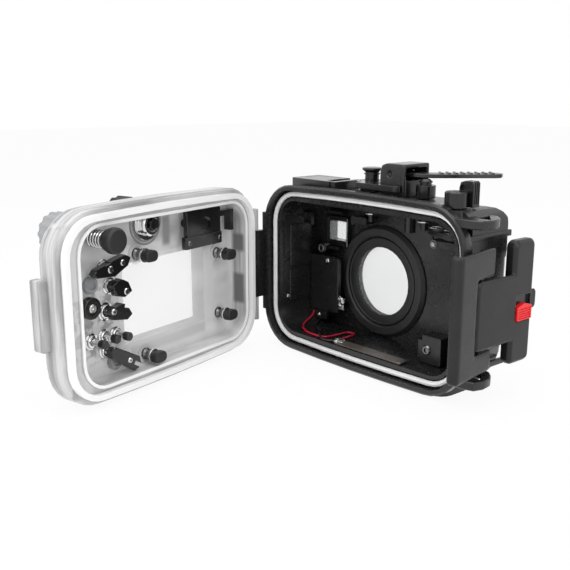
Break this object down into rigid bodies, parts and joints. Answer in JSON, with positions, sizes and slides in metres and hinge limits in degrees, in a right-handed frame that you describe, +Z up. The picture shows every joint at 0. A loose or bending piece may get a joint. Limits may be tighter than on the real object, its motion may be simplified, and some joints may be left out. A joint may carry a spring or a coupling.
{
  "type": "underwater camera housing",
  "caption": "Underwater housing for a compact camera: black case with lens port, top controls and side latch, and a clear hinged rear door carrying push rods, knobs and bumpers.",
  "frame": {"origin": "middle of the flat foot under the case, on the surface it stands on", "axes": "+Z up, +Y forward along the lens, +X to the viewer's right; the rear door hangs open on the -X side"},
  "size_m": [0.1765, 0.2189, 0.1152],
  "materials": {
    "housing_black": "satin moulded",
    "seal_white": "matt silicone",
    "port_black": "matt",
    "window_clear": "polished",
    "cover_black": "matt",
    "wire_red": "satin",
    "wire_black": "satin",
    "sensor_brown": "coated board",
    "bright_steel": "polished",
    "satin_steel": "dark satin",
    "control_black": "satin",
    "latch_grey": "satin moulded",
    "slider_red": "gloss",
    "door_clear": "clear moulded polycarbonate",
    "knob_clear": "clear moulded",
    "rubber_black": "matt",
    "chrome_ring": "bright"
  },
  "bodies": {
    "housing": {"main_body": "housing_black", "main_seal": "seal_white", "front_port_barrel": "port_black", "port_glass": "window_clear", "port_collar": "port_black", "port_mask": "port_black", "viewfinder_window": "window_clear", "viewfinder_frame": "cover_black", "leak_alarm_cover": "cover_black", "leak_wire_red": "wire_red", "leak_wire_black": "wire_black", "leak_sensor_strip": "sensor_brown", "leak_contact_clip": "bright_steel", "camera_stop_block": "cover_black", "camera_shelf": "cover_black", "cold_shoe": "housing_black", "shutter_bridge": "housing_black", "shutter_gland": "control_black", "button_gland": "control_black", "hinge_pin": "bright_steel", "latch_fulcrum_pin": "bright_steel", "tripod_insert": "bright_steel"},
    "door": {"door_shell": "door_clear", "bumper_post_1": "satin_steel", "bumper_cap_1": "rubber_black", "bumper_post_2": "satin_steel", "bumper_cap_2": "rubber_black", "bumper_post_3": "satin_steel", "bumper_cap_3": "rubber_black", "bumper_post_4": "satin_steel", "bumper_cap_4": "rubber_black", "eyepiece_bracket": "control_black", "knob_gland": "chrome_ring"},
    "latch_lever": {"latch_lever": "latch_grey"},
    "latch_hook_pin": {"latch_hook_pin": "bright_steel"},
    "latch_hook": {"latch_hook": "latch_grey"},
    "lock_slider": {"lock_slider": "slider_red"},
    "shutter_lever": {"shutter_lever": "housing_black"},
    "shutter_plunger": {"shutter_plunger": "satin_steel"},
    "top_button": {"top_button": "control_black"},
    "power_lever": {"power_lever": "housing_black"},
    "dial": {"dial_lever": "housing_black", "dial_inner_arm": "control_black", "dial_torsion_wire": "bright_steel"},
    "thumb_knob": {"thumb_knob": "knob_clear", "thumb_spring": "bright_steel"},
    "thumb_wheel": {"thumb_wheel": "rubber_black"},
    "control_knob": {"control_knob": "control_black", "knob_driver": "control_black"},
    "offset_arm_1": {"offset_arm_1": "control_black"},
    "offset_arm_2": {"offset_arm_2": "control_black"},
    "offset_arm_3": {"offset_arm_3": "control_black"},
    "fork_arm": {"fork_arm": "control_black"},
    "button_plunger_1": {"button_plunger_1": "control_black"},
    "button_plunger_2": {"button_plunger_2": "control_black"},
    "button_plunger_3": {"button_plunger_3": "control_black"},
    "ring_button": {"ring_button": "control_black"}
  },
  "joints": [
    {"name": "door_hinge", "type": "hinge", "parent": "housing", "child": "door", "pos_m": [-0.07964, -0.02793, 0.05045], "axis": [0, 0, -1], "range_deg": [-75.5, 45]},
    {"name": "latch_lever_hinge", "type": "hinge", "parent": "housing", "child": "latch_lever", "pos_m": [0.0778, -0.0205, 0.05045], "axis": [0, 0, -1], "range_deg": [0, 95]},
    {"name": "hook_pin_turn", "type": "hinge", "parent": "latch_lever", "child": "latch_hook_pin", "pos_m": [0.0775, -0.012, 0.05045], "axis": [0, 0, 1], "range_deg": [-2, 97]},
    {"name": "latch_hook_hinge", "type": "hinge", "parent": "latch_hook_pin", "child": "latch_hook", "pos_m": [0.0775, -0.012, 0.05045], "axis": [0, 0, 1], "range_deg": [-8.5, 12]},
    {"name": "lock_slide", "type": "slide", "parent": "latch_lever", "child": "lock_slider", "axis": [0, 0, 1], "range_m": [0, 0.0037], "stiffness_N_per_m": 120},
    {"name": "shutter_lever_hinge", "type": "hinge", "parent": "housing", "child": "shutter_lever", "pos_m": [0.011, 0.0035, 0.1095], "axis": [0, 1, 0], "range_deg": [0, 3.5], "stiffness_Nm_per_rad": 0.6},
    {"name": "shutter_plunger_slide", "type": "slide", "parent": "housing", "child": "shutter_plunger", "axis": [0, 0, -1], "range_m": [0, 0.0013]},
    {"name": "top_button_push", "type": "slide", "parent": "housing", "child": "top_button", "axis": [0, 0, -1], "range_m": [0, 0.0018], "stiffness_N_per_m": 350},
    {"name": "power_lever_turn", "type": "hinge", "parent": "housing", "child": "power_lever", "pos_m": [-0.009, 0.001, 0.10045], "axis": [0, 0, -1], "range_deg": [0, 15]},
    {"name": "dial_turn", "type": "hinge", "parent": "housing", "child": "dial", "pos_m": [0.0585, -0.011, 0.10045], "axis": [0, 0, 1], "range_deg": [-20, 20], "stiffness_Nm_per_rad": 0.06},
    {"name": "thumb_knob_turn", "type": "hinge", "parent": "door", "child": "thumb_knob", "pos_m": [-0.05561, -0.1491, 0.08316], "axis": [0.9681, 0.2504, 0], "continuous": true},
    {"name": "thumb_wheel_slide", "type": "slide", "parent": "thumb_knob", "child": "thumb_wheel", "axis": [0.9681, 0.2504, 0], "range_m": [-0.002, 0], "stiffness_N_per_m": 300, "deforming": ["thumb_spring"]},
    {"name": "control_knob_turn", "type": "hinge", "parent": "door", "child": "control_knob", "pos_m": [-0.06507, -0.11251, 0.08534], "axis": [0.9681, 0.2504, 0], "continuous": true},
    {"name": "offset_arm_1_push", "type": "slide", "parent": "door", "child": "offset_arm_1", "axis": [0.9681, 0.2504, 0], "range_m": [0, 0.0018], "stiffness_N_per_m": 350},
    {"name": "offset_arm_2_push", "type": "slide", "parent": "door", "child": "offset_arm_2", "axis": [0.9681, 0.2504, 0], "range_m": [0, 0.0018], "stiffness_N_per_m": 350},
    {"name": "offset_arm_3_push", "type": "slide", "parent": "door", "child": "offset_arm_3", "axis": [0.9681, 0.2504, 0], "range_m": [0, 0.0018], "stiffness_N_per_m": 350},
    {"name": "fork_arm_push", "type": "slide", "parent": "door", "child": "fork_arm", "axis": [0.9681, 0.2504, 0], "range_m": [0, 0.0018], "stiffness_N_per_m": 350},
    {"name": "button_plunger_1_push", "type": "slide", "parent": "door", "child": "button_plunger_1", "axis": [0.9681, 0.2504, 0], "range_m": [0, 0.0018], "stiffness_N_per_m": 350},
    {"name": "button_plunger_2_push", "type": "slide", "parent": "door", "child": "button_plunger_2", "axis": [0.9681, 0.2504, 0], "range_m": [0, 0.0018], "stiffness_N_per_m": 350},
    {"name": "button_plunger_3_push", "type": "slide", "parent": "door", "child": "button_plunger_3", "axis": [0.9681, 0.2504, 0], "range_m": [0, 0.0018], "stiffness_N_per_m": 350},
    {"name": "ring_button_push", "type": "slide", "parent": "door", "child": "ring_button", "axis": [0.9681, 0.2504, 0], "range_m": [0, 0.0018], "stiffness_N_per_m": 350}
  ],
  "couplings": [
    {"joint": "hook_pin_turn", "follows": "latch_lever_hinge", "ratio": 1},
    {"joint": "shutter_plunger_slide", "follows": "shutter_lever_hinge", "m_per_rad": 0.02}
  ]
}
